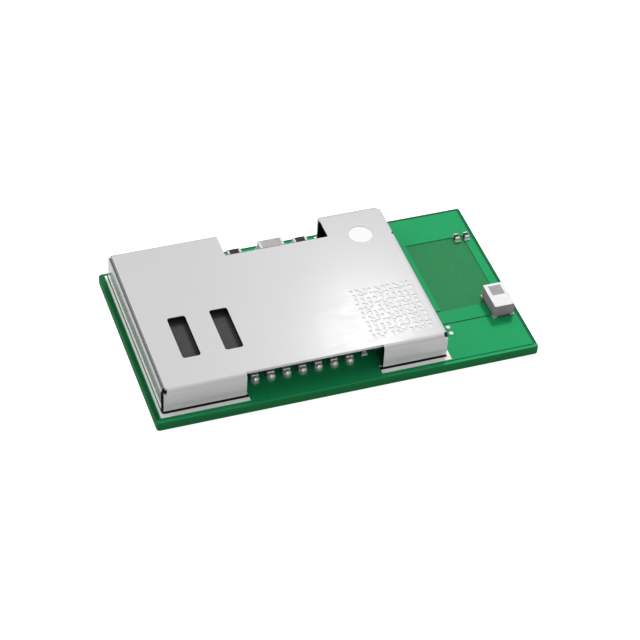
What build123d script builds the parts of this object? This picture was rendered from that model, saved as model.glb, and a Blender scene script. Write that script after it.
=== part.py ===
"""A short-range radio module: a small board with a folded shield can and a chip antenna."""
from build123d import *
import os

# Sheet of the shield can
sheet = 0.12
bend_inner_radius = 0.06
corner_gap = 0.07
corner_step = 0.06
relief_share = 0.65
relief_depth = 0.20

# Radio chip
chip_size = 5.0
chip_height = 0.85
chip_terminal_count = 10
chip_terminal_pitch = 0.4
chip_terminal_width = 0.22
chip_terminal_length = 0.4
chip_terminal_thickness = 0.15
chip_paddle_size = 3.4
chip_dimple_radius = 0.25
chip_dimple_depth = 0.04
chip_dimple_inset = 0.6

# Room around the radio chip inside the can
chip_side_gap = 0.56
parts_bay_length = 5.80
front_bay_width = 1.54
rear_bay_width = 1.33
headroom = 0.17

# Board
can_left_margin = 0.32
can_front_margin = 0.44
can_rear_margin = 0.22
antenna_zone_length = 3.74
core_thickness = 0.38
copper_film = 0.03
mask_film = 0.02
board_corner_radius = 0.12
board_edge_break = 0.03
copper_edge_margin = 0.20

# Lands and solder under the can's walls
land_edge_inset = 0.02
land_inner_reach = 0.07
land_right_reach = 0.10
land_end_reach = 0.09
land_height = 0.03
wall_lift = 0.08
seam_width = 0.05
feed_land_gap = 0.12

# Cut-outs and slots of the can, from its left outer face
front_cut_start = 3.35
rear_cut_start = 4.55
cut_end = 8.90
rear_cut_depth = 1.33
slot_start = 1.26
slot_pitch = 1.705
slot_width = 0.73
slot_length = 2.30
slot_front_offset = 1.55
slot_corner_radius = 0.11
slot_count = 2
side_notch_offset = 6.33
side_notch_width = 0.10
side_notch_depth = 0.10

# Marks sunk into the can's top
mark_depth = 0.02
mark_columns = 10
mark_rows = 11
mark_pitch = 0.26
mark_stroke = 0.12
mark_length = 0.235
mark_right_margin = 0.40
mark_front_margin = 0.56
dot_radius = 0.50
dot_right_offset = 1.37
dot_rear_offset = 1.55

# Two-ended chips: length, width, height and the width of their tinned ends
plating = 0.015
chip_edge_radius = 0.03
solder_lift = 0.02
pad_side_reach = 0.02
hollow_slack = 1.05

front_cap_count = 7
front_cap_pitch = 0.645
front_cap_length = 0.60
front_cap_width = 0.30
front_cap_height = 0.30
front_cap_band = 0.16
front_cap_first_offset = 0.565
front_dome_radius = 0.18
front_dome_height = 0.29
front_dome_setback = 0.56
pad_bead_overlap = 0.03

rear_resistor_length = 0.60
rear_resistor_width = 0.30
rear_resistor_height = 0.30
rear_resistor_band = 0.10
rear_resistor_left_offset = 0.715
rear_resistor_right_offset = 0.805
rear_row_inset = 0.10

rear_cap_length = 1.04
rear_cap_width = 0.50
rear_cap_height = 0.50
rear_cap_band = 0.10
rear_cap_offset = 0.07
rear_cap_inset = 0.12
end_fillet_reach = 0.10

small_chip_length = 0.32
small_chip_width = 0.20
small_chip_height = 0.16
small_chip_band = 0.08
small_fillet_reach = 0.03
inner_chip_cut_offset = 0.43
inner_chip_setback = 0.95
inner_chip_step_x = 0.62
inner_chip_step_y = 0.16

inductor_length = 1.60
inductor_width = 0.80
inductor_height = 0.75
inductor_band = 0.30
inductor_right_gap = 0.70
inductor_front_offset = 4.20

# Crystals
main_crystal_length = 2.0
main_crystal_width = 1.6
main_crystal_right_gap = 0.60
main_crystal_front_offset = 5.30
clock_crystal_length = 1.6
clock_crystal_width = 1.0
clock_crystal_right_gap = 3.2
clock_crystal_front_offset = 2.60
crystal_base_height = 0.32
crystal_lid_height = 0.10
crystal_lid_inset = 0.08
crystal_corner_radius = 0.10
crystal_pad_length = 0.45
crystal_pad_width = 0.38

# Chip antenna
antenna_length = 1.33
antenna_width = 0.84
antenna_height = 0.52
antenna_coat = 0.02
antenna_lift = 0.06
antenna_front_offset = 1.98
antenna_right_margin = 0.31
antenna_edge_radius = 0.02
antenna_foot_size = 0.16
antenna_foot_reach = 0.03
antenna_mark_length = 0.54
antenna_mark_width = 0.52
antenna_mark_film = 0.006
antenna_mark_rear_margin = 0.13

# Copper around the antenna
keepout_can_gap = 0.66
keepout_right_strip = 0.31
keepout_rear_offset = 1.72
feed_front_offset = 2.22
feed_width = 0.66
feed_gap = 0.11
feed_reach_under_can = 0.60

# Matching chips and test pads beside the can
match_chip_rear_offset = 1.88
match_chip_right_offset = 0.42
match_chip_pitch = 0.42
match_chip_count = 2
arm_break_width = 0.08
test_pad_radius = 0.09
test_pad_height = 0.03
test_pad_can_gap = 0.61
test_pad_front_offset = 1.60
test_pad_pitch = 0.35

# Lands on the underside
under_land_length = 0.70
under_land_width = 0.45
under_land_pitch = 0.75
under_land_edge_gap = 0.30
under_land_clearance = 0.12
under_long_row_count = 15
under_left_row_count = 8
under_ground_size = 1.1
under_ground_pitch = 1.6
under_ground_columns = 5
under_ground_rows = 2

# Worked-out plan of the board and the can, with the origin at the board's centre
bend_radius = sheet + bend_inner_radius
can_length = sheet + chip_side_gap + chip_size + parts_bay_length + sheet
can_width = sheet + front_bay_width + chip_size + rear_bay_width + sheet
board_length = can_left_margin + can_length + antenna_zone_length
board_width = can_front_margin + can_width + can_rear_margin
board_x0 = -board_length / 2
board_x1 = board_length / 2
board_y0 = -board_width / 2
board_y1 = board_width / 2
can_x0 = board_x0 + can_left_margin
can_x1 = can_x0 + can_length
can_y0 = board_y0 + can_front_margin
can_y1 = can_y0 + can_width
copper_x0 = board_x0 + copper_edge_margin
copper_x1 = board_x1 - copper_edge_margin
copper_y0 = board_y0 + copper_edge_margin
copper_y1 = board_y1 - copper_edge_margin
front_cut_x0 = can_x0 + front_cut_start
rear_cut_x0 = can_x0 + rear_cut_start
cut_x1 = can_x0 + cut_end
chip_x0 = can_x0 + sheet + chip_side_gap
chip_y0 = can_y0 + sheet + front_bay_width

# Worked-out heights, up from the underside
core_z0 = mask_film + copper_film
core_z1 = core_z0 + core_thickness
copper_z = core_z1 + copper_film
board_z = copper_z + mask_film
land_z = board_z + land_height
foot_z = land_z + wall_lift
seat_z = board_z + solder_lift
can_z = seat_z + chip_height + headroom + sheet
plate_z = can_z - sheet

# Worked-out copper and antenna plan
antenna_x1 = board_x1 - antenna_right_margin
antenna_x0 = antenna_x1 - antenna_width
antenna_y0 = board_y0 + antenna_front_offset
antenna_y1 = antenna_y0 + antenna_length
feed_y0 = board_y0 + feed_front_offset
feed_y1 = feed_y0 + feed_width
feed_x0 = can_x1 - feed_reach_under_can
keepout_x0 = can_x1 + keepout_can_gap
keepout_x1 = copper_x1 - keepout_right_strip
keepout_y1 = board_y1 - keepout_rear_offset
match_y = board_y1 - match_chip_rear_offset


def block(x0, x1, y0, y1, z0, z1):
    """A box between two opposite corners."""
    centre = Pos((x0 + x1) / 2, (y0 + y1) / 2, (z0 + z1) / 2)
    return centre * Box(x1 - x0, y1 - y0, z1 - z0)


def rounded_block(x0, x1, y0, y1, z0, z1, radius):
    """A box with rounded upright corners."""
    body = block(x0, x1, y0, y1, z0, z1)
    return fillet(body.edges().filter_by(Axis.Z), radius)


def cut(body, tools):
    """The body with every tool taken out of it."""
    return body - list(tools)


def join(pieces):
    """One solid from pieces that touch or overlap."""
    return pieces[0] + list(pieces[1:])


def group(pieces):
    """Separate solids that share one file."""
    return Compound(children=list(pieces))


# Board and copper

def copper_voids(grow):
    """The places in the top ground copper that stay bare, drawn in by grow on every side."""
    z0 = core_z0
    z1 = can_z
    under_x0 = antenna_x0 - antenna_foot_reach
    channel_x0 = feed_x0 - feed_gap
    half_break = arm_break_width / 2
    return [
        block(keepout_x0 + grow, keepout_x1 - grow, feed_y1 + grow, keepout_y1 - grow, z0, z1),
        block(channel_x0 + grow, antenna_x0 - grow, feed_y0 - feed_gap + grow, feed_y1 + feed_gap - grow, z0, z1),
        block(under_x0 + grow, board_x1, antenna_y0 + grow, antenna_y1 - grow, z0, z1),
        block(keepout_x1 - grow, board_x1, match_y - half_break + grow, match_y + half_break - grow, z0, z1),
    ]


def ground_copper(grow, z0, z1):
    """The ground copper on top, or the film over it when grow is the film's thickness."""
    plane = block(copper_x0 - grow, copper_x1 + grow, copper_y0 - grow, copper_y1 + grow, z0, z1)
    return cut(plane, copper_voids(grow))


def feed_copper(grow, z0, z1):
    """The strip that feeds the antenna, with a foot under the antenna's front corner."""
    foot_x0 = antenna_x0 - antenna_foot_reach
    foot_x1 = foot_x0 + antenna_foot_size
    foot_y0 = antenna_y0 + antenna_foot_size / 2
    strip = block(feed_x0 - grow, foot_x1 + grow, feed_y0 - grow, feed_y1 + grow, z0, z1)
    foot = block(foot_x0 - grow, foot_x1 + grow, foot_y0, feed_y1 + grow, z0, z1)
    return strip + foot


def match_pad(grow, z0, z1):
    """The copper pad under the front end of the matching chip that stands in the bare area."""
    x = board_x1 - match_chip_right_offset - match_chip_pitch
    y1 = match_y - small_chip_length / 2 + small_chip_band
    y0 = y1 - small_chip_band - small_fillet_reach
    half = small_chip_width / 2 + pad_side_reach
    return block(x - half - grow, x + half + grow, y0 - grow, y1 + grow, z0, z1)


def board_outline(inset, z0, z1):
    """The board's outline, drawn in by inset."""
    radius = board_corner_radius - inset
    return rounded_block(board_x0 + inset, board_x1 - inset, board_y0 + inset, board_y1 - inset, z0, z1, radius)


def laminate():
    """The glass laminate core, with its long edges broken."""
    core = board_outline(0, core_z0, core_z1)
    rims = core.edges().group_by(Axis.Z)
    return chamfer(rims[0] + rims[-1], board_edge_break)


def top_mask(copper, openings):
    """The lacquer on top: it steps down to the laminate where there is no copper."""
    film = board_outline(board_edge_break, core_z1, core_z1 + mask_film)
    over = [part(mask_film, core_z1, board_z) for part in (ground_copper, feed_copper, match_pad)]
    return cut(join([film] + over), copper + openings)


# Underside

def underside_plan():
    """The centres of the signal lands with their turn, and of the square ground lands."""
    reach = under_land_length / 2 + under_land_edge_gap
    row_start = can_x0 + under_land_pitch
    signal = []
    for i in range(under_long_row_count):
        x = row_start + i * under_land_pitch
        signal.append((x, board_y0 + reach, under_land_width, under_land_length))
        signal.append((x, board_y1 - reach, under_land_width, under_land_length))
    for i in range(under_left_row_count):
        y = (i - (under_left_row_count - 1) / 2) * under_land_pitch
        signal.append((board_x0 + reach, y, under_land_length, under_land_width))
    ground = []
    ground_x = (can_x0 + can_x1) / 2
    for i in range(under_ground_columns):
        for j in range(under_ground_rows):
            x = ground_x + (i - (under_ground_columns - 1) / 2) * under_ground_pitch
            y = (j - (under_ground_rows - 1) / 2) * under_ground_pitch
            ground.append((x, y, under_ground_size, under_ground_size))
    return signal, ground


def plan_blocks(plan, grow, z0, z1):
    """One block for each land of a plan, larger by grow on every side."""
    blocks = []
    for x, y, length, width in plan:
        half_x = length / 2 + grow
        half_y = width / 2 + grow
        blocks.append(block(x - half_x, x + half_x, y - half_y, y + half_y, z0, z1))
    return blocks


def underside():
    """The copper, lands and lacquer below the core."""
    signal, ground = underside_plan()
    signal_lands = plan_blocks(signal, 0, 0, core_z0)
    ground_lands = plan_blocks(ground, 0, 0, mask_film)
    rings = plan_blocks(signal, under_land_clearance, 0, core_z0)
    film_rings = plan_blocks(signal, under_land_clearance - mask_film, -mask_film, core_z0)
    plane = block(copper_x0, copper_x1, copper_y0, copper_y1, mask_film, core_z0)
    plane = cut(plane, rings)
    over = block(
        copper_x0 - mask_film, copper_x1 + mask_film,
        copper_y0 - mask_film, copper_y1 + mask_film, 0, core_z0,
    )
    film = board_outline(board_edge_break, core_z0 - mask_film, core_z0) + cut(over, film_rings)
    film = cut(film, [plane] + signal_lands + ground_lands)
    return plane, signal_lands, ground_lands, film


# Shield can

def fold(length):
    """A wall with its bend, along X from 0, with its outer face on the plane Y = 0."""
    with BuildPart() as wall:
        with BuildSketch(Plane.YZ):
            with BuildLine():
                Line((0, foot_z), (0, can_z - bend_radius))
                RadiusArc((0, can_z - bend_radius), (bend_radius, can_z), bend_radius)
                Line((bend_radius, can_z), (bend_radius, plate_z))
                RadiusArc((bend_radius, plate_z), (sheet, can_z - bend_radius), -bend_inner_radius)
                Line((sheet, can_z - bend_radius), (sheet, foot_z))
                Line((sheet, foot_z), (0, foot_z))
            make_face()
        extrude(amount=length)
    return wall.part


def walls():
    """The six walls: two at the front, two at the rear and one at each side."""
    side_y0 = can_y0 + sheet + corner_gap
    side_y1 = can_y1 - sheet - corner_gap
    end_x0 = can_x0 + corner_step
    end_x1 = can_x1 - corner_step
    return [
        Pos(end_x0, can_y0, 0) * fold(front_cut_x0 - end_x0),
        Pos(cut_x1, can_y0, 0) * fold(end_x1 - cut_x1),
        Pos(rear_cut_x0, can_y1, 0) * Rot(0, 0, 180) * fold(rear_cut_x0 - end_x0),
        Pos(end_x1, can_y1, 0) * Rot(0, 0, 180) * fold(end_x1 - cut_x1),
        Pos(can_x0, side_y1, 0) * Rot(0, 0, -90) * fold(side_y1 - side_y0),
        Pos(can_x1, side_y0, 0) * Rot(0, 0, 90) * fold(side_y1 - side_y0),
    ]


def corner_reliefs():
    """Round holes at the four corners of the plate, where two bends meet."""
    height = relief_depth * 2
    inset = bend_radius / 2
    reliefs = []
    for x in (can_x0 + inset, can_x1 - inset):
        for y in (can_y0 + inset, can_y1 - inset):
            reliefs.append(Pos(x, y, can_z) * Cylinder(bend_radius * relief_share, height))
    return reliefs


def slots():
    """Two rounded slots side by side over the radio chip."""
    openings = []
    for i in range(slot_count):
        x = can_x0 + slot_start + i * slot_pitch
        y = can_y0 + slot_front_offset
        openings.append(rounded_block(
            x, x + slot_width, y, y + slot_length, plate_z - sheet, can_z + sheet, slot_corner_radius
        ))
    return openings


def mark_bars(column, row):
    """The bars of one tile of the sunk pattern, as offsets and sizes."""
    kind = (column * column * 3 + row * row * 5 + column * row * 7 + column + 2 * row) % 6
    side = (mark_length - mark_stroke) / 2
    upright = (0, 0, mark_stroke, mark_length)
    level = (0, 0, mark_length, mark_stroke)
    shapes = [
        [upright],
        [level],
        [(-side, 0, mark_stroke, mark_length), (0, -side, mark_length, mark_stroke)],
        [(side, 0, mark_stroke, mark_length), (0, side, mark_length, mark_stroke)],
        [(-side, side, mark_stroke, mark_stroke)],
        [level, (-side, 0, mark_stroke, mark_length)],
    ]
    return shapes[kind]


def sunk_marks():
    """A square field of short bars and a round dot, sunk into the plate."""
    z0 = can_z - mark_depth
    z1 = can_z + mark_depth
    x_end = can_x1 - mark_right_margin
    y_start = can_y0 + mark_front_margin
    tools = []
    for column in range(mark_columns):
        for row in range(mark_rows):
            x = x_end - (column + 0.5) * mark_pitch
            y = y_start + (row + 0.5) * mark_pitch
            bars = plan_blocks([(x + dx, y + dy, w, h) for dx, dy, w, h in mark_bars(column, row)], 0, z0, z1)
            tools.append(bars[0] if len(bars) == 1 else join(bars))
    dot = Cylinder(dot_radius, 2 * mark_depth)
    tools.append(Pos(can_x1 - dot_right_offset, can_y1 - dot_rear_offset, can_z) * dot)
    return tools


def shield_can():
    """One folded sheet: the plate, six walls, the cut-outs, slots and sunk marks."""
    plate = block(
        can_x0 + bend_radius, can_x1 - bend_radius,
        can_y0 + bend_radius, can_y1 - bend_radius, plate_z, can_z,
    )
    rear_cut = block(rear_cut_x0, cut_x1, can_y1 - rear_cut_depth, can_y1, plate_z - sheet, can_z + sheet)
    notch_y = can_y0 + side_notch_offset
    notch = block(
        can_x1 - side_notch_depth, can_x1,
        notch_y - side_notch_width / 2, notch_y + side_notch_width / 2,
        can_z - side_notch_depth, can_z + sheet,
    )
    plate = cut(plate, [rear_cut] + slots() + sunk_marks())
    return cut(join([plate] + walls()), corner_reliefs() + [notch])


def wall_footing(outer, inner, end_reach, z0, z1):
    """Strips under the can's walls, left, front right and rear right, from outer to inner faces."""
    x0, x1, y0, y1 = outer
    in_x0, in_x1, in_y0, in_y1 = inner
    gap_y0 = feed_y0 - feed_gap - feed_land_gap
    gap_y1 = feed_y1 + feed_gap + feed_land_gap
    left = join([
        block(x0, in_x0, y0, y1, z0, z1),
        block(x0, front_cut_x0 + end_reach, y0, in_y0, z0, z1),
        block(x0, rear_cut_x0 + end_reach, in_y1, y1, z0, z1),
    ])
    front_right = join([
        block(in_x1, x1, y0, gap_y0, z0, z1),
        block(cut_x1 - end_reach, x1, y0, in_y0, z0, z1),
    ])
    rear_right = join([
        block(in_x1, x1, gap_y1, y1, z0, z1),
        block(cut_x1 - end_reach, x1, in_y1, y1, z0, z1),
    ])
    return [left, front_right, rear_right]


def can_lands():
    """Tinned lands, a little wider than the walls."""
    inset = land_edge_inset
    outer = (copper_x0 + inset, can_x1 + land_right_reach, copper_y0 + inset, copper_y1 - inset)
    reach = sheet + land_inner_reach
    inner = (can_x0 + reach, can_x1 - reach, can_y0 + reach, can_y1 - reach)
    return wall_footing(outer, inner, land_end_reach, copper_z, land_z)


def can_seams():
    """Solder between the lands and the walls' feet, set back from the outer faces."""
    set_back = sheet - seam_width
    outer = (can_x0 + set_back, can_x1 - set_back, can_y0 + set_back, can_y1 - set_back)
    inner = (can_x0 + sheet, can_x1 - sheet, can_y0 + sheet, can_y1 - sheet)
    return wall_footing(outer, inner, 0, land_z, foot_z)


# Two-ended chips

def chip(length, width, height, band):
    """A chip along X, centred, standing on Z = 0: its body and its two tinned ends."""
    body = block(
        plating - length / 2, length / 2 - plating,
        plating - width / 2, width / 2 - plating, plating, height - plating,
    )
    outer = Pos(0, 0, height / 2) * Box(length, width, height)
    outer = fillet(outer.edges(), chip_edge_radius)
    middle = length / 2 - band
    shell = outer - block(-middle, middle, -width, width, -height, 2 * height)
    return body, [piece for piece in (shell - body).solids()]


def end_solder(length, width, height, band, reach):
    """Solder under and against one end of a chip along X, climbing its end face."""
    face_x = length / 2
    under_x = face_x - band
    half = width / 2 + pad_side_reach
    down = copper_z - seat_z
    level = board_z - seat_z
    climb = height / 2
    rise = climb - level
    hollow_radius = (reach * reach + rise * rise) / (2 * reach) * hollow_slack
    with BuildPart() as joint:
        with BuildSketch(Plane.XZ.offset(-half)):
            with BuildLine():
                Polyline(
                    (face_x + reach, level), (face_x + reach, down), (under_x, down),
                    (under_x, 0), (face_x, 0), (face_x, climb),
                )
                RadiusArc((face_x, climb), (face_x + reach, level), -hollow_radius)
            make_face()
        extrude(amount=2 * half)
    return joint.part


def dome_solder(x, y):
    """A round-nosed bead of solder at the front of a front-row chip whose end face is at y."""
    radius = front_dome_radius
    shoulder_z = board_z + front_dome_height - radius
    stem = Pos(0, 0, (copper_z + shoulder_z) / 2) * Cylinder(radius, shoulder_z - copper_z)
    nose = Pos(0, 0, shoulder_z) * Sphere(radius)
    behind = block(-2 * radius, 2 * radius, 0, 2 * radius, copper_z - radius, shoulder_z + 2 * radius)
    below = block(-2 * radius, 2 * radius, -2 * radius, 2 * radius, copper_z - 2 * radius, copper_z)
    return Pos(x, y, 0) * cut(stem + nose, [behind, below])


def place(x, y, along_y=False):
    """Where a chip stands, turned when it lies along Y."""
    turn = 90 if along_y else 0
    return Pos(x, y, seat_z) * Rot(0, 0, turn)


def chip_set(places, length, width, height, band, reach):
    """Bodies, ends and solder of like chips at the given places."""
    body, ends = chip(length, width, height, band)
    right = end_solder(length, width, height, band, reach)
    left = Rot(0, 0, 180) * right
    bodies = [spot * body for spot in places]
    end_pieces = [spot * end for spot in places for end in ends]
    joints = [spot * joint for spot in places for joint in (right, left)]
    return bodies, end_pieces, joints


def front_capacitors():
    """The row of upright-set chips behind the front cut-out, with round beads at their front ends."""
    face_y = can_y0 + front_dome_setback + front_dome_radius
    centre_y = face_y + front_cap_length / 2
    places = []
    beads = []
    for i in range(front_cap_count):
        x = front_cut_x0 + front_cap_first_offset + i * front_cap_pitch
        places.append(place(x, centre_y, along_y=True))
        bead = dome_solder(x, face_y)
        half = front_cap_width / 2 + pad_side_reach
        pad = block(x - half, x + half, face_y - pad_bead_overlap, face_y + front_cap_band, copper_z, seat_z)
        beads.append(bead + pad)
    bodies, ends, joints = chip_set(
        places, front_cap_length, front_cap_width, front_cap_height, front_cap_band, end_fillet_reach / 2
    )
    rear_joints = joints[0::2]
    return bodies, ends, beads + rear_joints


def radio_chip():
    """The moulded chip, its centre paddle, its terminals and the solder below them."""
    x0, y0 = chip_x0, chip_y0
    x1, y1 = x0 + chip_size, y0 + chip_size
    centre_x, centre_y = (x0 + x1) / 2, (y0 + y1) / 2
    half_row = (chip_terminal_count - 1) / 2
    plan = []
    for i in range(chip_terminal_count):
        along = (i - half_row) * chip_terminal_pitch
        reach = chip_size / 2 - chip_terminal_length / 2
        plan.append((centre_x + along, centre_y - reach, chip_terminal_width, chip_terminal_length))
        plan.append((centre_x + along, centre_y + reach, chip_terminal_width, chip_terminal_length))
        plan.append((centre_x - reach, centre_y + along, chip_terminal_length, chip_terminal_width))
        plan.append((centre_x + reach, centre_y + along, chip_terminal_length, chip_terminal_width))
    paddle_plan = [(centre_x, centre_y, chip_paddle_size, chip_paddle_size)]
    terminal_z = seat_z + chip_terminal_thickness
    terminals = plan_blocks(plan, 0, seat_z, terminal_z)
    paddle = plan_blocks(paddle_plan, 0, seat_z, terminal_z)[0]
    solder = plan_blocks(plan + paddle_plan, 0, copper_z, seat_z)
    body = block(x0, x1, y0, y1, seat_z, seat_z + chip_height)
    dimple = Pos(x0 + chip_dimple_inset, y1 - chip_dimple_inset, seat_z + chip_height)
    body = cut(body, terminals + [paddle, dimple * Cylinder(chip_dimple_radius, 2 * chip_dimple_depth)])
    return body, paddle, terminals, solder


def crystal(x, y, length, width):
    """A crystal in a ceramic tub centred at x, y: tub, metal lid and its four soldered pads."""
    half_x, half_y = length / 2, width / 2
    tub_z = seat_z + crystal_base_height
    tub = rounded_block(
        x - half_x, x + half_x, y - half_y, y + half_y, seat_z, tub_z, crystal_corner_radius
    )
    lid = rounded_block(
        x - half_x + crystal_lid_inset, x + half_x - crystal_lid_inset,
        y - half_y + crystal_lid_inset, y + half_y - crystal_lid_inset,
        tub_z, tub_z + crystal_lid_height, crystal_corner_radius,
    )
    reach_x = half_x - crystal_pad_length / 2
    reach_y = half_y - crystal_pad_width / 2
    plan = []
    for side_x in (-1, 1):
        for side_y in (-1, 1):
            plan.append((x + side_x * reach_x, y + side_y * reach_y, crystal_pad_length, crystal_pad_width))
    return tub, lid, plan_blocks(plan, 0, copper_z, seat_z)


# Antenna

def antenna():
    """The ceramic block with its white top coat, grey square and four corner feet."""
    z0 = board_z + antenna_lift
    z1 = z0 + antenna_height
    body = block(antenna_x0, antenna_x1, antenna_y0, antenna_y1, z0, z1)
    body = fillet(body.edges().filter_by(Axis.Z), antenna_edge_radius)
    coat = rounded_block(antenna_x0, antenna_x1, antenna_y0, antenna_y1, z1, z1 + antenna_coat, antenna_edge_radius)
    coat_z = z1 + antenna_coat
    mark_x = (antenna_x0 + antenna_x1) / 2
    mark_y1 = antenna_y1 - antenna_mark_rear_margin
    mark = block(
        mark_x - antenna_mark_width / 2, mark_x + antenna_mark_width / 2,
        mark_y1 - antenna_mark_length, mark_y1, coat_z, coat_z + antenna_mark_film,
    )
    feet = []
    for x in (antenna_x0 - antenna_foot_reach, antenna_x1 + antenna_foot_reach - antenna_foot_size):
        for y in (antenna_y0 - antenna_foot_reach, antenna_y1 + antenna_foot_reach - antenna_foot_size):
            feet.append(block(x, x + antenna_foot_size, y, y + antenna_foot_size, core_z1, z0))
    return body, coat, mark, feet


def test_pads():
    """Round tinned pads beside the can."""
    x = can_x1 + test_pad_can_gap
    pads = []
    for i in range(2):
        y = board_y0 + test_pad_front_offset + i * test_pad_pitch
        height = board_z + test_pad_height - copper_z
        pads.append(Pos(x, y, copper_z + height / 2) * Cylinder(test_pad_radius, height))
    return pads


def build():
    """Every piece of the module, by its name."""
    nodes = {}
    lands = can_lands()
    seams = can_seams()
    for side, land, seam in zip(("left", "front_right", "rear_right"), lands, seams):
        nodes[f"can_land_{side}"] = land
        nodes[f"can_seam_{side}"] = seam
    nodes["shield_can"] = shield_can()

    body, paddle, terminals, chip_solder = radio_chip()
    nodes["radio_chip_body"] = body
    nodes["radio_chip_paddle"] = paddle
    nodes["radio_chip_terminals"] = group(terminals)
    nodes["radio_chip_solder"] = group(chip_solder)

    bodies, ends, front_solder = front_capacitors()
    for i, body in enumerate(bodies):
        nodes[f"front_capacitor_body_{i + 1}"] = body
    nodes["front_capacitor_ends"] = group(ends)
    nodes["front_capacitor_solder"] = group(front_solder)

    resistor_y = can_y1 - rear_row_inset - rear_resistor_width / 2
    left_spot = place(rear_cut_x0 + rear_resistor_left_offset, resistor_y)
    right_spot = place(cut_x1 - rear_resistor_right_offset, resistor_y)
    bodies, ends, resistor_solder = chip_set(
        [left_spot, right_spot], rear_resistor_length, rear_resistor_width,
        rear_resistor_height, rear_resistor_band, end_fillet_reach / 2,
    )
    nodes["rear_resistor_body_left"] = bodies[0]
    nodes["rear_resistor_body_right"] = bodies[1]
    nodes["rear_resistor_ends"] = group(ends)
    nodes["rear_resistor_solder"] = group(resistor_solder)

    rear_cap_x = (rear_cut_x0 + cut_x1) / 2 + rear_cap_offset
    rear_cap_y = can_y1 - rear_cap_inset - rear_cap_width / 2
    bodies, ends, rear_cap_solder = chip_set(
        [place(rear_cap_x, rear_cap_y)], rear_cap_length, rear_cap_width,
        rear_cap_height, rear_cap_band, end_fillet_reach,
    )
    nodes["rear_capacitor_body"] = bodies[0]
    nodes["rear_capacitor_ends"] = group(ends)
    nodes["rear_capacitor_solder"] = group(rear_cap_solder)

    inner_x = cut_x1 - inner_chip_cut_offset
    inner_y = can_y0 + inner_chip_setback + small_chip_length / 2
    inner_places = [
        place(inner_x, inner_y, along_y=True),
        place(inner_x + inner_chip_step_x, inner_y + inner_chip_step_y, along_y=True),
    ]
    bodies, ends, inner_solder = chip_set(
        inner_places, small_chip_length, small_chip_width,
        small_chip_height, small_chip_band, small_fillet_reach,
    )
    nodes["inner_chip_body_left"] = bodies[0]
    nodes["inner_chip_body_right"] = bodies[1]
    nodes["inner_chip_ends"] = group(ends)
    nodes["inner_chip_solder"] = group(inner_solder)

    inductor_x = can_x1 - sheet - inductor_right_gap - inductor_length / 2
    inductor_y = can_y0 + inductor_front_offset
    bodies, ends, inductor_solder = chip_set(
        [place(inductor_x, inductor_y)], inductor_length, inductor_width,
        inductor_height, inductor_band, end_fillet_reach,
    )
    nodes["power_inductor_core"] = bodies[0]
    nodes["power_inductor_ends"] = group(ends)
    nodes["power_inductor_solder"] = group(inductor_solder)

    main_x = can_x1 - sheet - main_crystal_right_gap - main_crystal_length / 2
    main_y = can_y0 + main_crystal_front_offset + main_crystal_width / 2
    tub, lid, main_solder = crystal(main_x, main_y, main_crystal_length, main_crystal_width)
    nodes["main_crystal_tub"] = tub
    nodes["main_crystal_lid"] = lid
    clock_x = can_x1 - sheet - clock_crystal_right_gap - clock_crystal_length / 2
    clock_y = can_y0 + clock_crystal_front_offset
    tub, lid, clock_solder = crystal(clock_x, clock_y, clock_crystal_length, clock_crystal_width)
    nodes["clock_crystal_tub"] = tub
    nodes["clock_crystal_lid"] = lid
    nodes["crystal_solder"] = group(main_solder + clock_solder)

    match_places = []
    for i in range(match_chip_count):
        match_places.append(place(board_x1 - match_chip_right_offset - i * match_chip_pitch, match_y, along_y=True))
    bodies, ends, match_solder = chip_set(
        match_places, small_chip_length, small_chip_width,
        small_chip_height, small_chip_band, small_fillet_reach,
    )
    for i, body in enumerate(bodies):
        nodes[f"matching_chip_body_{i + 1}"] = body
    nodes["matching_chip_ends"] = group(ends)
    nodes["matching_chip_solder"] = group(match_solder)

    body, coat, mark, feet = antenna()
    nodes["antenna_body"] = body
    nodes["antenna_top_coat"] = coat
    nodes["antenna_top_mark"] = mark
    nodes["antenna_feet"] = group(feet)

    pads = test_pads()
    nodes["test_pads"] = group(pads)

    ground = ground_copper(0, core_z1, copper_z) - feet
    feed = feed_copper(0, core_z1, copper_z) - feet
    pad = match_pad(0, core_z1, copper_z)
    openings = (
        lands + chip_solder + front_solder + resistor_solder + rear_cap_solder + inner_solder
        + inductor_solder + main_solder + clock_solder + match_solder + feet + pads
    )
    nodes["board_laminate"] = laminate()
    nodes["top_copper"] = ground
    nodes["antenna_feed_strip"] = feed
    nodes["matching_chip_pad"] = pad
    nodes["top_mask"] = top_mask([ground, feed, pad], openings)

    plane, signal_lands, ground_lands, film = underside()
    nodes["bottom_copper"] = plane
    nodes["underside_signal_lands"] = group(signal_lands)
    nodes["underside_ground_lands"] = group(ground_lands)
    nodes["bottom_mask"] = film
    return nodes


def main():
    """Writes one file for each piece."""
    os.makedirs("parts", exist_ok=True)
    for name, shape in build().items():
        export_step(shape, f"parts/{name}.step")


main()
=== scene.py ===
from math import cos, pi, radians, sin
import bpy
from mathutils import Matrix, Vector

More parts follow.
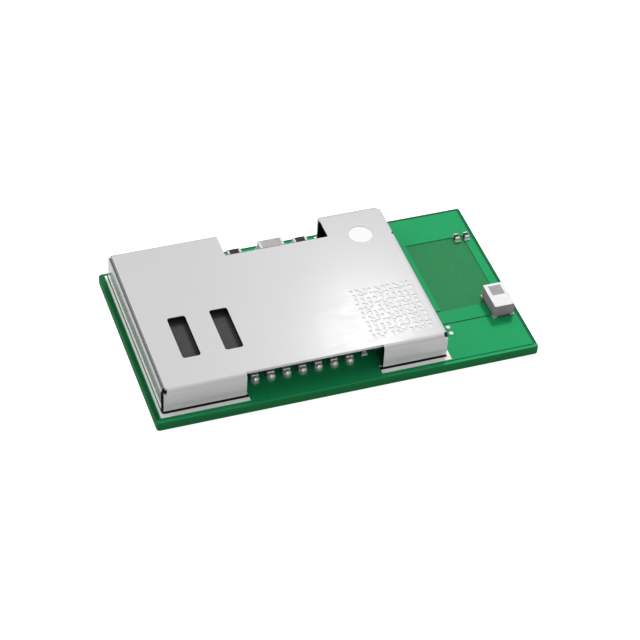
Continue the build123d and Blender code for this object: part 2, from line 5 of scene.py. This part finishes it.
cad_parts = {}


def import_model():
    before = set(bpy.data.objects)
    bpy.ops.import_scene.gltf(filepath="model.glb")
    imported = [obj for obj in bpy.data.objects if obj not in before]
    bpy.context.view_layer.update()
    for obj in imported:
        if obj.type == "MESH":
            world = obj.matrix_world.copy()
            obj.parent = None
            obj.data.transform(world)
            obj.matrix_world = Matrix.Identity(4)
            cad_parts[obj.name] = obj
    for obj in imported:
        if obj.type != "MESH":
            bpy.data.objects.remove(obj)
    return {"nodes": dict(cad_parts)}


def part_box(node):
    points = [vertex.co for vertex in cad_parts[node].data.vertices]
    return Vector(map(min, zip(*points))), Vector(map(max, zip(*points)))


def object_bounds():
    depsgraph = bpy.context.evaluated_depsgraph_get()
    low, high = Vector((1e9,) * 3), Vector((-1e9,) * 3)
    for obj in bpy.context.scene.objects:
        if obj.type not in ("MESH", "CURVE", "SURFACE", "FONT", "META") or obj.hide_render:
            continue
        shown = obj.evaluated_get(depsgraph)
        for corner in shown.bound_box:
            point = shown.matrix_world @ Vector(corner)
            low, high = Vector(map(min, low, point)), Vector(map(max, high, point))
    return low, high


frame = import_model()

cad_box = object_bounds()
MM = 0.001

# Camera, fitted to the photograph
IMAGE_PIXELS = 640
SENSOR = 36.0
FOCAL_PIXELS = 2232.9
CAMERA_AZIMUTH = -21.44
CAMERA_ELEVATION = 42.95
CAMERA_ROLL = 3.90
CAMERA_DISTANCE = 89.485 * MM
CAMERA_AIM_RIGHT = 0.163 * MM
CAMERA_AIM_UP = -0.074 * MM
CLIP_RATIO = 50

# Boxes of pieces, which tell one surface from another
COPPER_LOW, COPPER_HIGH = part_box("top_copper")
BOTTOM_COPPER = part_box("bottom_copper")[0].z
CAN_LOW, CAN_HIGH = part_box("shield_can")
LAMINATE_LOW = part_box("board_laminate")[0]
LAND_LOW = Vector((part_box("can_land_left")[0].x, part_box("can_land_front_right")[0].y, 0))

# Sizes on the can; what lies just short of the sheet's thickness already counts as inside
CAN_SHEET = 0.12 * MM
CAN_SKIN = 0.02 * MM
INSIDE_DEPTH = CAN_SHEET * 0.93
MARK_DEPTH = 0.02 * MM
SLOT_WALL_DEPTH = MARK_DEPTH * 1.3
SLOT_WALL_INSET = 0.30 * MM
NOTCH_OFFSET = 6.33 * MM
NOTCH_REACH = 0.11 * MM
CORNER_REACH = 0.32 * MM
PAINTED_REFLECTION_HEIGHT = 0.30 * MM

# Sizes on the board
LAND_ROUND = 0.20 * MM
FRONT_SHADOW_LINE = 0.05 * MM
SIDE_SHADOW_LINE = 0.015 * MM
EDGE_HIGHLIGHT_WIDTH = 0.10 * MM

# Relief of the lands' rounding and plies of the board, in plain millimetres
LAND_DROP = 0.06
PLY_PITCH = 0.095
PLY_WAVE = 0.02

# Half the width over which one paint turns into the next
CAN_BLUR = 0.004 * MM
LAND_BLUR = 0.008 * MM
LACQUER_BLUR = 0.006 * MM

# Share of a face's normal along an axis: where a mask starts, and where it is full
LEVEL_FACE = (0.90, 0.97)
CUT_FACE = (0.85, 0.95)
SHEARED_FACE = (0.90, 0.95)
BENT_FACE = (0.08, 0.24)
FLAT_SIDE_FACE = (0.90, 0.98)
FRONT_FACE = (0.30, 0.80)

# Surroundings, with the sun's angles in degrees
SUN_AZIMUTH = 150
SUN_ELEVATION = 50
SUN_WIDTH = 9
SUN_POWER = 2.2
FLOOR_HALF = 2.0
FLOOR_GAP = 0.02 * MM
AMBIENT = 0.15

# Sockets of the mix node that have no name of their own
VALUE_SOCKETS = (2, 3)
COLOUR_SOCKETS = (6, 7)
VALUE_RESULT = 0
COLOUR_RESULT = 2


def colour(red, green, blue):
    """A linear colour from the 0 to 255 values seen on a screen."""
    def linear(value):
        share = value / 255
        return share / 12.92 if share <= 0.04045 else ((share + 0.055) / 1.055) ** 2.4
    return (linear(red), linear(green), linear(blue), 1.0)


def direction(azimuth, elevation):
    """The way from the part to a point at this compass side, 0 at the front and 90 at the right."""
    a, e = radians(azimuth), radians(elevation)
    return Vector((sin(a) * cos(e), -cos(a) * cos(e), sin(e)))


def feed(tree, socket, value):
    """Links a socket to another node's output, or sets it."""
    if isinstance(value, bpy.types.NodeSocket):
        tree.links.new(value, socket)
    else:
        socket.default_value = value


def maths(tree, operation, *values):
    """The result of one sum on values or other nodes' outputs."""
    node = tree.nodes.new("ShaderNodeMath")
    node.operation = operation
    for socket, value in zip(node.inputs, values):
        feed(tree, socket, value)
    return node.outputs[0]


class Recipe:
    """A material's node tree, with short calls for the nodes that the finishes share."""

    def __init__(self, name):
        self.material = bpy.data.materials.new(name)
        self.material.use_nodes = True
        self.tree = self.material.node_tree
        self.shader = self.tree.nodes["Principled BSDF"]
        self.place = self.tree.nodes.new("ShaderNodeTexCoord").outputs["Object"]
        self.mm = self.vector("SCALE", self.place, scale=1 / MM)
        self.normal = None

    def vector(self, operation, a, b=None, scale=None):
        """The result of one sum on vectors."""
        node = self.tree.nodes.new("ShaderNodeVectorMath")
        node.operation = operation
        feed(self.tree, node.inputs[0], a)
        if b is not None:
            feed(self.tree, node.inputs[1], b)
        if scale is not None:
            node.inputs["Scale"].default_value = scale
        return node.outputs["Vector"]

    def maths(self, operation, *values):
        """The result of one sum on values."""
        return maths(self.tree, operation, *values)

    def magnitude(self, value):
        """A value without its sign."""
        return self.maths("ABSOLUTE", value)

    def all_of(self, first, *others):
        """1 where every one of the masks is 1."""
        for other in others:
            first = self.maths("MULTIPLY", first, other)
        return first

    def any_of(self, first, *others):
        """1 where at least one of the masks is 1."""
        for other in others:
            first = self.maths("MAXIMUM", first, other)
        return first

    def axis(self, name, source=None):
        """One coordinate of the place on the object, in metres, or of another vector."""
        node = self.tree.nodes.new("ShaderNodeSeparateXYZ")
        feed(self.tree, node.inputs[0], source or self.place)
        return node.outputs[name]

    def facing(self):
        """The way the surface faces, before any relief."""
        return self.tree.nodes.new("ShaderNodeNewGeometry").outputs["Normal"]

    def step(self, value, start, end):
        """0 before start and 1 beyond end, smooth between them; start may be the higher one."""
        node = self.tree.nodes.new("ShaderNodeMapRange")
        node.interpolation_type = "SMOOTHSTEP"
        feed(self.tree, node.inputs["Value"], value)
        node.inputs["From Min"].default_value = start
        node.inputs["From Max"].default_value = end
        return node.outputs["Result"]

    def band(self, value, low, high, blur):
        """1 between low and high, with a soft end at each."""
        return self.all_of(
            self.step(value, low - blur, low + blur),
            self.step(value, high + blur, high - blur),
        )

    def spread(self, value, low, high, start=0.3, end=0.7):
        """A noise value stretched between low and high."""
        node = self.tree.nodes.new("ShaderNodeMapRange")
        feed(self.tree, node.inputs["Value"], value)
        node.inputs["From Min"].default_value = start
        node.inputs["From Max"].default_value = end
        node.inputs["To Min"].default_value = low
        node.inputs["To Max"].default_value = high
        return node.outputs["Result"]

    def noise(self, per_mm, detail=3.0, stretch=(1, 1, 1), shift=0.0):
        """Noise with the given number of features to the millimetre."""
        node = self.tree.nodes.new("ShaderNodeTexNoise")
        where = self.vector("MULTIPLY", self.mm, stretch)
        where = self.vector("ADD", where, (shift, shift, shift))
        feed(self.tree, node.inputs["Vector"], where)
        node.inputs["Scale"].default_value = per_mm
        node.inputs["Detail"].default_value = detail
        return node.outputs["Fac"]

    def mix(self, share, low, high):
        """A colour between low and high."""
        node = self.tree.nodes.new("ShaderNodeMix")
        node.data_type = "RGBA"
        feed(self.tree, node.inputs["Factor"], share)
        for number, value in zip(COLOUR_SOCKETS, (low, high)):
            feed(self.tree, node.inputs[number], value)
        return node.outputs[COLOUR_RESULT]

    def blend(self, share, low, high):
        """A value between low and high."""
        node = self.tree.nodes.new("ShaderNodeMix")
        feed(self.tree, node.inputs["Factor"], share)
        for number, value in zip(VALUE_SOCKETS, (low, high)):
            feed(self.tree, node.inputs[number], value)
        return node.outputs[VALUE_RESULT]

    def bump(self, height, depth):
        """Adds relief of the given depth, in millimetres, over the relief added before."""
        node = self.tree.nodes.new("ShaderNodeBump")
        feed(self.tree, node.inputs["Height"], height)
        node.inputs["Distance"].default_value = depth * MM
        if self.normal is not None:
            feed(self.tree, node.inputs["Normal"], self.normal)
        self.normal = node.outputs["Normal"]
        feed(self.tree, self.shader.inputs["Normal"], self.normal)

    def set(self, **values):
        """Sets or links the shader's sockets by name, with _ for a space."""
        for name, value in values.items():
            feed(self.tree, self.shader.inputs[name.replace("_", " ")], value)


def far_inside(r, inset, depth):
    """1 where a point of the can is further in from its sides and its top than the given distances."""
    top = CAN_HIGH.z - depth
    return r.all_of(
        r.band(r.axis("X"), CAN_LOW.x + inset, CAN_HIGH.x - inset, CAN_BLUR),
        r.band(r.axis("Y"), CAN_LOW.y + inset, CAN_HIGH.y - inset, CAN_BLUR),
        r.step(r.axis("Z"), top + CAN_BLUR, top - CAN_BLUR),
    )


def notch_faces(r):
    """1 on the faces of the small notch in the can's right bend."""
    left = CAN_HIGH.x - NOTCH_REACH
    foot = CAN_HIGH.z - NOTCH_REACH
    middle = CAN_LOW.y + NOTCH_OFFSET
    front, rear = middle - NOTCH_REACH / 2, middle + NOTCH_REACH / 2
    return r.all_of(
        r.step(r.axis("X"), left - CAN_BLUR, left + CAN_BLUR),
        r.step(r.axis("Z"), foot - CAN_BLUR, foot),
        r.step(r.axis("Y"), front - CAN_BLUR, front),
        r.step(r.axis("Y"), rear + CAN_BLUR, rear),
    )


def corner_faces(r, facing):
    """1 on the cut faces beside the gaps at the can's corners."""
    near, cut = [], []
    for name, low, high in (("X", CAN_LOW.x, CAN_HIGH.x), ("Y", CAN_LOW.y, CAN_HIGH.y)):
        place = r.axis(name)
        depth = r.maths("MINIMUM", r.maths("SUBTRACT", place, low), r.maths("SUBTRACT", high, place))
        near.append(r.step(depth, CORNER_REACH, CORNER_REACH * 0.95))
        across = r.step(r.magnitude(r.axis(name, facing)), *CUT_FACE)
        cut.append(r.all_of(across, r.step(depth, CAN_SKIN, CAN_SKIN * 1.5)))
    return r.all_of(*near, r.any_of(*cut))


def sheared_ends(r, sideways):
    """1 on the ends of the front walls, which face left and right."""
    in_front_wall = r.step(r.axis("Y"), CAN_LOW.y + CAN_SHEET * 1.10, CAN_LOW.y + CAN_SHEET * 1.05)
    return r.all_of(in_front_wall, r.step(sideways, *SHEARED_FACE))


def painted_shade_faces(r, facing, sideways):
    """1 on the can's inside, its slot walls, its notch and its cut faces, which are painted near black as
    painted shade.
    """
    return r.any_of(
        far_inside(r, INSIDE_DEPTH, INSIDE_DEPTH),
        far_inside(r, SLOT_WALL_INSET, SLOT_WALL_DEPTH),
        notch_faces(r),
        corner_faces(r, facing),
        sheared_ends(r, sideways),
    )


def sunk_marks(r, facing):
    """1 on the floors of the sunk marks in the plate."""
    mark_floor = CAN_HIGH.z - MARK_DEPTH
    far, near = MARK_DEPTH / 2, MARK_DEPTH / 4
    height = r.axis("Z")
    return r.all_of(
        r.step(height, mark_floor - far, mark_floor - near),
        r.step(height, mark_floor + far, mark_floor + near),
        r.step(r.axis("Z", facing), *LEVEL_FACE),
    )


def foot_painted_reflection(r):
    """1 on the lowest part of the can's left wall, where a near-white painted reflection of the land
    beside it goes.
    """
    outside = r.step(r.axis("X"), CAN_LOW.x + CAN_SKIN, CAN_LOW.x + CAN_SKIN / 2)
    low = r.step(r.axis("Z"), CAN_LOW.z + PAINTED_REFLECTION_HEIGHT, CAN_LOW.z + PAINTED_REFLECTION_HEIGHT * 0.75)
    return r.all_of(outside, low)


def sheet_shine(r, facing, sideways):
    """The metallic share of the sheet: satin plate, bends and side walls that mirror more, dull front."""
    plate, bend, flat_side, front = 0.55, 0.92, 0.76, 0.22
    side = r.blend(r.step(sideways, *FLAT_SIDE_FACE), bend, flat_side)
    shine = r.blend(r.step(sideways, *BENT_FACE), plate, side)
    return r.blend(r.step(r.magnitude(r.axis("Y", facing)), *FRONT_FACE), shine, front)


def shield_metal():
    """Satin sheet with a faint rolling grain, frosted in the sunk marks, painted near black as painted
    shade on the inside, and painted near white at the left wall's foot as a painted reflection of the
    land.
    """
    r = Recipe("shield_metal")
    facing = r.facing()
    sideways = r.magnitude(r.axis("X", facing))
    grain = r.noise(9, detail=5, stretch=(0.15, 1, 1))
    frosted = sunk_marks(r, facing)
    painted_shade = painted_shade_faces(r, facing, sideways)
    foot = foot_painted_reflection(r)
    base = r.mix(r.noise(0.35, detail=4), colour(208, 208, 209), colour(214, 213, 214))
    base = r.mix(frosted, base, colour(236, 236, 236))
    # Painted shade: the can's inside, slot walls, notch and cut faces are painted near black.
    base = r.mix(painted_shade, base, colour(9, 10, 9))
    # Painted reflection: the left wall's foot is painted near white and made less metallic, standing in
    # for the land mirrored in the wall.
    base = r.mix(foot, base, colour(252, 252, 250))
    foot_shine, frosted_shine = 0.10, 0.15
    shine = r.blend(foot, sheet_shine(r, facing, sideways), foot_shine)
    r.set(Base_Color=base, Metallic=r.blend(frosted, shine, frosted_shine))
    frosted_rough, painted_shade_rough = 0.62, 0.8
    rough = r.spread(r.noise(1.2, detail=5), 0.20, 0.24)
    rough = r.maths("ADD", rough, r.spread(grain, -0.03, 0.03))
    r.set(Roughness=r.blend(painted_shade, r.blend(frosted, rough, frosted_rough), painted_shade_rough))
    r.bump(grain, 0.0002)
    r.bump(r.noise(45, detail=2), 0.0001)
    r.bump(r.noise(0.5, detail=1), 0.002)
    return r.material


def tin(name, low, high, rough, lumps, depth, metallic=1.0):
    """A tinned or soldered surface: clear metal with soft lumps, a little dulled in patches."""
    r = Recipe(name)
    r.set(Base_Color=r.mix(r.noise(3.0, detail=4), low, high), Metallic=metallic)
    r.set(Roughness=r.spread(r.noise(6.0, detail=4, shift=5), *rough))
    r.bump(r.noise(lumps, detail=2), depth)
    r.bump(r.noise(30, detail=3), 0.0006)
    return r.material


def front_painted_shadow(r):
    """1 along the strip of land at the front walls' feet, where a painted shadow of the walls and the gap
    under them goes.
    """
    return r.all_of(
        r.band(r.axis("Y"), CAN_LOW.y - FRONT_SHADOW_LINE, CAN_LOW.y + CAN_SHEET, LAND_BLUR),
        r.step(r.axis("X"), CAN_LOW.x, CAN_LOW.x + FRONT_SHADOW_LINE),
        r.step(r.axis("X"), CAN_HIGH.x, CAN_HIGH.x - FRONT_SHADOW_LINE),
    )


def left_painted_shadow(r):
    """1 along the thin line of land at the left wall's foot, where a painted shadow of the gap under the
    wall goes.
    """
    return r.all_of(
        r.band(r.axis("X"), CAN_LOW.x - SIDE_SHADOW_LINE, CAN_LOW.x + CAN_SHEET, LAND_BLUR),
        r.step(r.axis("Y"), CAN_LOW.y, CAN_LOW.y + LAND_BLUR),
    )


def land_tin():
    """The pale tin on the lands under the can's walls, rounded down at its outer edge, with a dark painted
    shadow along the walls' feet.
    """
    r = Recipe("land_tin")
    base = r.mix(r.noise(3, detail=4), colour(246, 246, 242), colour(254, 254, 251))
    painted_shadow = r.any_of(front_painted_shadow(r), left_painted_shadow(r))
    # Painted shadow: the land is painted near black along the walls' feet.
    r.set(Base_Color=r.mix(painted_shadow, base, colour(16, 26, 20)))
    r.set(Roughness=r.spread(r.noise(6, detail=4), 0.40, 0.55))
    from_left = r.step(r.axis("X"), LAND_LOW.x, LAND_LOW.x + LAND_ROUND)
    from_front = r.step(r.axis("Y"), LAND_LOW.y, LAND_LOW.y + LAND_ROUND)
    r.bump(r.maths("MINIMUM", from_left, from_front), LAND_DROP)
    r.bump(r.noise(4, detail=2), 0.003)
    return r.material


def mould_compound():
    """Black moulding with fine filler specks."""
    r = Recipe("mould_compound")
    speck = r.noise(28, detail=4)
    r.set(Base_Color=r.mix(speck, colour(44, 44, 46), colour(78, 78, 80)), Specular_IOR_Level=0.4)
    r.set(Roughness=r.spread(r.noise(5), 0.42, 0.6))
    r.bump(speck, 0.004)
    return r.material


def ceramic(name, low, high, rough, grain=22, depth=0.002):
    """Fired ceramic or a ferrite: slightly mottled, with a fine grain."""
    r = Recipe(name)
    mottle = r.spread(r.noise(4, detail=5), 0, 1)
    r.set(Base_Color=r.mix(mottle, low, high))
    r.set(Roughness=r.spread(r.noise(7, shift=3), *rough))
    r.bump(r.noise(grain, detail=3), depth)
    return r.material


def glass_laminate():
    """Green-tinted glass laminate: thin plies one over another, flecked where fibres were cut."""
    r = Recipe("glass_laminate")
    wave = r.maths("MULTIPLY", r.noise(1.5, detail=2), PLY_WAVE)
    height = r.maths("ADD", r.axis("Z", r.mm), wave)
    ply = r.maths("SINE", r.maths("MULTIPLY", height, 2 * pi / PLY_PITCH))
    ply = r.spread(ply, 0, 1, -1, 1)
    fleck = r.noise(18, detail=4, stretch=(1, 1, 3))
    base = r.mix(ply, colour(14, 102, 50), colour(24, 126, 66))
    base = r.mix(r.spread(fleck, 0, 0.45), base, colour(40, 124, 72))
    r.set(Base_Color=base, Roughness=r.spread(fleck, 0.45, 0.65), Specular_IOR_Level=0.1)
    r.bump(fleck, 0.003)
    r.bump(ply, 0.0015)
    return r.material


def over_copper(r):
    """1 where the lacquer lies on copper, on either side of the board."""
    height = r.axis("Z")
    return r.any_of(
        r.step(height, COPPER_HIGH.z - LACQUER_BLUR, COPPER_HIGH.z + LACQUER_BLUR),
        r.step(height, BOTTOM_COPPER + LACQUER_BLUR, BOTTOM_COPPER - LACQUER_BLUR),
    )


def within_copper(r):
    """1 inside the outline of the copper, so 0 on the board's rim."""
    return r.all_of(
        r.band(r.axis("X"), COPPER_LOW.x, COPPER_HIGH.x, LACQUER_BLUR),
        r.band(r.axis("Y"), COPPER_LOW.y, COPPER_HIGH.y, LACQUER_BLUR),
    )


def green_lacquer():
    """Glossy green lacquer: bright over copper and on the front rim, with a painted highlight along the
    board's front top edge, duller over bare laminate, dark along the rest of the board's rim."""
    r = Recipe("green_lacquer")
    cloud = r.noise(0.6, detail=5)
    fine = r.noise(12, detail=4)
    bright = r.mix(cloud, colour(24, 144, 86), colour(30, 154, 94))
    dull = r.mix(cloud, colour(38, 118, 70), colour(46, 128, 78))
    rim = r.mix(cloud, colour(11, 84, 46), colour(16, 94, 54))
    front_rim = r.step(r.axis("Y"), COPPER_LOW.y + LACQUER_BLUR, COPPER_LOW.y - LACQUER_BLUR)
    rim = r.mix(front_rim, rim, bright)
    front_edge_highlight = r.step(r.axis("Y"), LAMINATE_LOW.y + EDGE_HIGHLIGHT_WIDTH, LAMINATE_LOW.y)
    # Painted highlight: a lighter green line along the board's front top edge.
    rim = r.mix(front_edge_highlight, rim, colour(56, 172, 116))
    off_copper = r.mix(within_copper(r), rim, dull)
    base = r.mix(over_copper(r), off_copper, bright)
    base = r.mix(r.spread(fine, 0, 0.12), base, colour(60, 165, 110))
    r.set(Base_Color=base, Specular_IOR_Level=0.12)
    r.set(Roughness=r.spread(r.noise(2, detail=4, shift=7), 0.16, 0.26))
    r.bump(fine, 0.0010)
    r.bump(r.noise(1.5, detail=2), 0.004)
    return r.material


def bare_metal(name, low, high, rough):
    """Copper or gold plate with a faint grain."""
    r = Recipe(name)
    r.set(Base_Color=r.mix(r.noise(5, detail=4), low, high), Metallic=1.0)
    r.set(Roughness=r.spread(r.noise(14, detail=4), *rough))
    r.bump(r.noise(40, detail=3), 0.0005)
    return r.material


def tinned_finishes():
    """Solder on the chips, solder in the can's seams painted near black as painted shade of the gap under
    the walls, plated chip ends and crystal lids.
    """
    return [
        tin("solder_tin", colour(222, 220, 223), colour(246, 246, 247), rough=(0.20, 0.32),
            lumps=6, depth=0.010, metallic=0.6),
        # Painted shade: the seam solder in the gap under the walls is painted near black.
        tin("seam_solder", colour(10, 16, 13), colour(22, 30, 25), rough=(0.5, 0.7),
            lumps=6, depth=0.003, metallic=0.0),
        tin("chip_tin", colour(222, 219, 223), colour(240, 238, 240), rough=(0.28, 0.42),
            lumps=9, depth=0.006, metallic=0.6),
        tin("lid_metal", colour(206, 200, 186), colour(222, 216, 202), rough=(0.25, 0.35),
            lumps=1, depth=0.002),
    ]


def ceramic_finishes():
    """Bodies of the chips, the crystals, the inductor and the antenna."""
    return [
        ceramic("dark_film", colour(34, 28, 28), colour(50, 42, 42), (0.4, 0.55)),
        ceramic("brown_ceramic", colour(120, 92, 66), colour(146, 114, 84), (0.45, 0.6)),
        ceramic("grey_ceramic", colour(158, 154, 154), colour(176, 172, 171), (0.4, 0.55)),
        ceramic("ferrite", colour(54, 54, 58), colour(76, 76, 80), (0.5, 0.7), grain=16, depth=0.005),
        ceramic("tub_ceramic", colour(96, 88, 80), colour(118, 110, 100), (0.45, 0.6)),
        ceramic("antenna_ceramic", colour(158, 134, 148), colour(174, 150, 164), (0.5, 0.65)),
        ceramic("antenna_glaze", colour(218, 217, 219), colour(228, 227, 229), (0.3, 0.45), depth=0.001),
        ceramic("antenna_grey", colour(146, 143, 146), colour(160, 157, 160), (0.45, 0.6)),
    ]


def finishes():
    """Every finish by the slot it belongs to."""
    made = [shield_metal(), land_tin(), mould_compound(), glass_laminate(), green_lacquer()]
    made += tinned_finishes()
    made += ceramic_finishes()
    made.append(bare_metal("copper", colour(196, 116, 74), colour(216, 136, 92), (0.25, 0.4)))
    made.append(bare_metal("gold_plate", colour(226, 184, 96), colour(240, 204, 124), (0.18, 0.32)))
    return {slot_name(material): material for material in made}


def slot_name(material):
    """A material's name without the number that is added when the name is taken."""
    return material.name.split(".")[0]


def dress():
    """Gives each CAD piece the finish of its own slot."""
    by_slot = finishes()
    for piece in frame["nodes"].values():
        for holder in piece.material_slots:
            holder.material = by_slot[slot_name(holder.material)]


def camera():
    """The camera at the photograph's angle, rolled and aimed a little off the centre."""
    azimuth = radians(CAMERA_AZIMUTH)
    roll = radians(CAMERA_ROLL)
    back = direction(CAMERA_AZIMUTH, CAMERA_ELEVATION)
    level = Vector((cos(azimuth), sin(azimuth), 0))
    rise = back.cross(level)
    right = level * cos(roll) + rise * sin(roll)
    up = rise * cos(roll) - level * sin(roll)
    data = bpy.data.cameras.new("camera")
    data.sensor_width = SENSOR
    data.lens = SENSOR * FOCAL_PIXELS / IMAGE_PIXELS
    data.clip_start = CAMERA_DISTANCE / CLIP_RATIO
    data.clip_end = CAMERA_DISTANCE * CLIP_RATIO
    eye = bpy.data.objects.new("camera", data)
    spot = back * CAMERA_DISTANCE + right * CAMERA_AIM_RIGHT + up * CAMERA_AIM_UP
    eye.matrix_world = Matrix.Translation(spot) @ Matrix((right, up, back)).transposed().to_4x4()
    bpy.context.scene.collection.objects.link(eye)
    bpy.context.scene.camera = eye


def place_lamp(data, way, distance):
    """Puts a lamp at the given distance, aimed back at the part."""
    lamp = bpy.data.objects.new(data.name, data)
    lamp.location = way * distance
    lamp.rotation_mode = "QUATERNION"
    lamp.rotation_quaternion = way.to_track_quat("Z", "Y")
    bpy.context.scene.collection.objects.link(lamp)
    return lamp


def panel(name, azimuth, elevation, distance, width, height, radiance):
    """A rectangular lamp; distance and size are in millimetres."""
    data = bpy.data.lights.new(name, "AREA")
    data.shape = "RECTANGLE"
    data.size = width * MM
    data.size_y = height * MM
    data.energy = radiance * pi * data.size * data.size_y
    return place_lamp(data, direction(azimuth, elevation), distance * MM)


def sun():
    """A soft sun from the rear right, which shades the part but isn't mirrored in it."""
    data = bpy.data.lights.new("sun", "SUN")
    data.energy = SUN_POWER
    data.angle = radians(SUN_WIDTH)
    place_lamp(data, direction(SUN_AZIMUTH, SUN_ELEVATION), 0).visible_glossy = False


def lights():
    """The sun, the panels that the plate, its edges and the solder mirror, and two that fill the shade."""
    sun()
    panel("rear panel", 138, 62, distance=80, width=112, height=112, radiance=0.64)
    panel("highlight panel", 152.2, 47.6, distance=37.5, width=4.5, height=4.5, radiance=2.1)
    panel("halo panel", 155.6, 46.8, distance=37.6, width=13, height=10, radiance=0.18)
    panel("edge panel", 137, 16, distance=80, width=44, height=34, radiance=1.0)
    panel("side panel", 78, 14, distance=60, width=30, height=20, radiance=1.2)
    panel("glint panel", -3, 36, distance=80, width=12, height=12, radiance=9.0)
    panel("front panel", 14, 30, distance=80, width=110, height=110, radiance=0.43)
    left = panel("left panel", 238, 30, distance=80, width=90, height=50, radiance=2.1)
    left.visible_glossy = False


def seen_share(tree, camera_share, mirrored_share):
    """How brightly a surface shows itself to the camera, and in reflections and through clear things."""
    path = tree.nodes.new("ShaderNodeLightPath")
    total = maths(tree, "MULTIPLY", path.outputs["Is Camera Ray"], camera_share)
    for ray in ("Is Glossy Ray", "Is Transmission Ray"):
        part = maths(tree, "MULTIPLY", path.outputs[ray], mirrored_share)
        total = maths(tree, "MAXIMUM", total, part)
    return total


def floor():
    """A plain pale floor under the part, which keeps the part's shadow."""
    mesh = bpy.data.meshes.new("floor")
    z = cad_box[0].z - FLOOR_GAP
    corners = [(x * FLOOR_HALF, y * FLOOR_HALF, z) for x, y in ((-1, -1), (1, -1), (1, 1), (-1, 1))]
    mesh.from_pydata(corners, [], [(0, 1, 2, 3)])
    plane = bpy.data.objects.new("floor", mesh)
    bpy.context.scene.collection.objects.link(plane)
    mesh.materials.append(floor_paint())


def floor_paint():
    """Matt light grey, lifted to white where the camera sees it."""
    material = bpy.data.materials.new("floor")
    material.use_nodes = True
    tree = material.node_tree
    shader = tree.nodes["Principled BSDF"]
    shader.inputs["Base Color"].default_value = colour(206, 206, 206)
    shader.inputs["Roughness"].default_value = 0.9
    shader.inputs["Emission Color"].default_value = (1, 1, 1, 1)
    lift = seen_share(tree, camera_share=0.90, mirrored_share=0.10)
    tree.links.new(lift, shader.inputs["Emission Strength"])
    return material


def world():
    """Even pale surroundings, white behind the part."""
    space = bpy.data.worlds.new("world")
    space.use_nodes = True
    bpy.context.scene.world = space
    tree = space.node_tree
    back = tree.nodes["Background"]
    back.inputs["Color"].default_value = (1, 1, 1, 1)
    seen = seen_share(tree, camera_share=1.0, mirrored_share=AMBIENT)
    tree.links.new(maths(tree, "MAXIMUM", seen, AMBIENT), back.inputs["Strength"])


dress()
camera()
lights()
floor()
world()
bpy.context.scene.view_settings.view_transform = "Standard"
